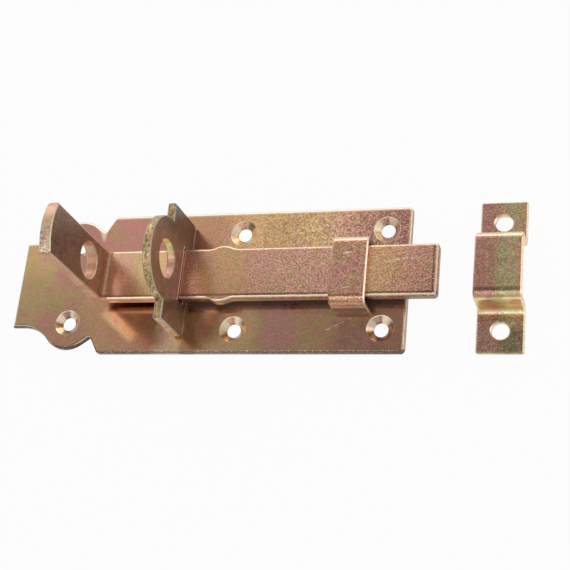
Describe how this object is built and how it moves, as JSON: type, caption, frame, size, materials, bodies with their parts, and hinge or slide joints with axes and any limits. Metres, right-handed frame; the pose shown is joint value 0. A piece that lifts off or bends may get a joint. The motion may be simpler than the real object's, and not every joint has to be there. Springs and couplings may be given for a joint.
{
  "type": "padlock bolt",
  "caption": "Surface door bolt on an ornamental base plate: a sliding flat bar with an upturned drilled tail, a padlock ear, a guide loop and a separate hat-shaped keeper.",
  "frame": {"origin": "middle of the base plate's back face, on the surface that the plate is screwed to", "axes": "+X along the bolt towards the end it shoots from, +Z away from the door"},
  "size_m": [0.1775, 0.0516, 0.0502],
  "materials": {
    "plate_zinc": "yellow passivated zinc plate",
    "ear_zinc": "yellow passivated zinc plate",
    "loop_zinc": "yellow passivated zinc plate",
    "bolt_zinc": "yellow passivated zinc plate",
    "keeper_zinc": "yellow passivated zinc plate"
  },
  "bodies": {
    "plate": {"base_plate": "plate_zinc", "padlock_ear": "ear_zinc", "guide_loop": "loop_zinc", "keeper": "keeper_zinc"},
    "bolt": {"bolt": "bolt_zinc"}
  },
  "joints": [
    {"name": "bolt_slide", "type": "slide", "parent": "plate", "child": "bolt", "axis": [1, 0, 0], "range_m": [-0.008, 0.024]}
  ]
}
